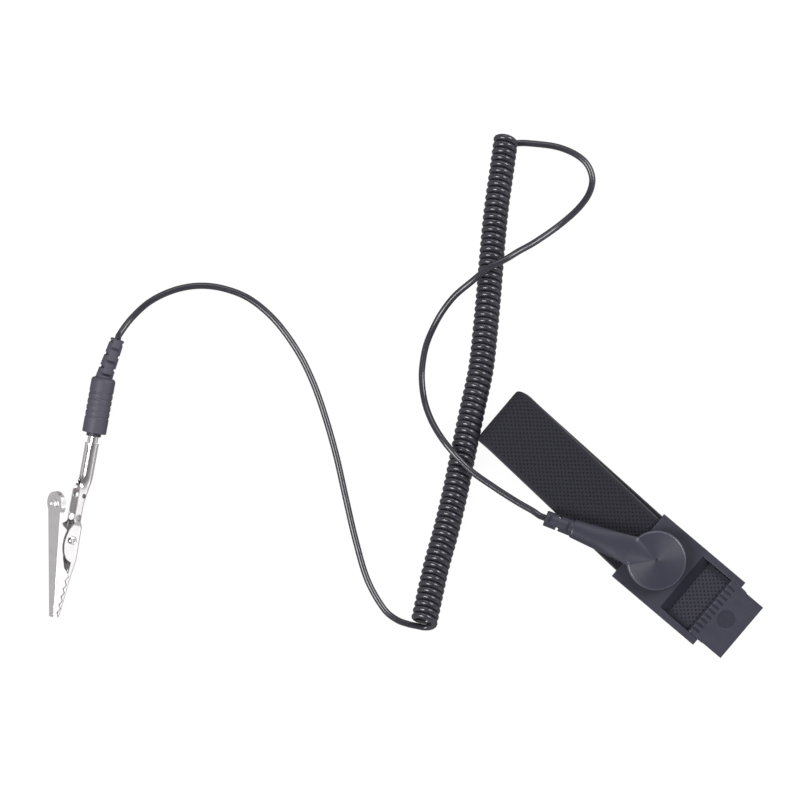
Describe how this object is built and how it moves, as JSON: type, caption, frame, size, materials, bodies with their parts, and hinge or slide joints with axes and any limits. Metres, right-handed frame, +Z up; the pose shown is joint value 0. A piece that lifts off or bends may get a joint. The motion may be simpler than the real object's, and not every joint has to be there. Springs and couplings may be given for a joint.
{
  "type": "wrist strap",
  "caption": "Elastic earthing wrist strap with a flip-lock buckle, a press-stud lead, a curly cord, a banana plug and a push-on alligator clip.",
  "frame": {"origin": "on the table, on the underside of the lower band layer, under the axis of the snap stud", "axes": "+X along the buckle towards the tip of its lever, +Z up out of the table, +Y across the band"},
  "size_m": [0.2239, 0.2325, 0.0161],
  "materials": {
    "elastic": "knitted elastic",
    "moulding": "fine moulded texture",
    "jacket": "smooth flexible jacket",
    "grip": "moulded grip",
    "nickel": "bright nickel plate",
    "steel": "plain",
    "copper": "tinned",
    "ceramic": "lacquered"
  },
  "bodies": {
    "wristband": {"band": "elastic", "buckle_body": "moulding", "lever_pin": "steel", "contact_plate": "steel", "plate_rivet_1": "steel", "plate_rivet_2": "steel", "snap_stud": "nickel", "stud_post": "nickel"},
    "lever": {"clamp_lever": "moulding"},
    "snap_ring": {"socket_spring": "nickel"},
    "cord": {"snap_cap": "moulding", "snap_socket": "nickel", "resistor": "ceramic", "resistor_lead_1": "copper", "resistor_lead_2": "copper", "cord_tail_band": "jacket", "cord_coil": "jacket", "cord_tail_clip": "jacket", "plug_handle": "grip", "plug_collar": "moulding", "plug_pin": "nickel"},
    "plug_cage": {"plug_spring": "nickel"},
    "clip": {"clip_body": "nickel", "clip_pivot": "nickel", "clip_spring": "steel"},
    "jaw": {"clip_jaw": "nickel", "thumb_eyelet": "nickel"}
  },
  "joints": [
    {"name": "lever_hinge", "type": "hinge", "parent": "wristband", "child": "lever", "pos_m": [0.0242, 0, 0.0082], "axis": [0, -1, 0], "range_deg": [0, 100]},
    {"name": "snap_pull", "type": "slide", "parent": "wristband", "child": "snap_ring", "axis": [0, 0, 1], "range_m": [0, 0.012]},
    {"name": "snap_swivel", "type": "hinge", "parent": "snap_ring", "child": "cord", "pos_m": [0, 0, 0.011], "axis": [0, 0, 1], "range_deg": [0, 270]},
    {"name": "plug_swivel", "type": "hinge", "parent": "cord", "child": "plug_cage", "pos_m": [-0.168, -0.09148, 0.0039], "axis": [0.4981, -0.8661, -0.0419], "continuous": true},
    {"name": "clip_pull", "type": "slide", "parent": "plug_cage", "child": "clip", "axis": [0.4981, -0.8661, -0.0419], "range_m": [0, 0.016]},
    {"name": "jaw_hinge", "type": "hinge", "parent": "clip", "child": "jaw", "pos_m": [-0.1537, -0.12105, 0.00464], "axis": [-0.5956, -0.3066, -0.7425], "range_deg": [0, 25], "stiffness_Nm_per_rad": 0.02, "springref_deg": -34.38, "deforming": ["clip_spring"]}
  ]
}
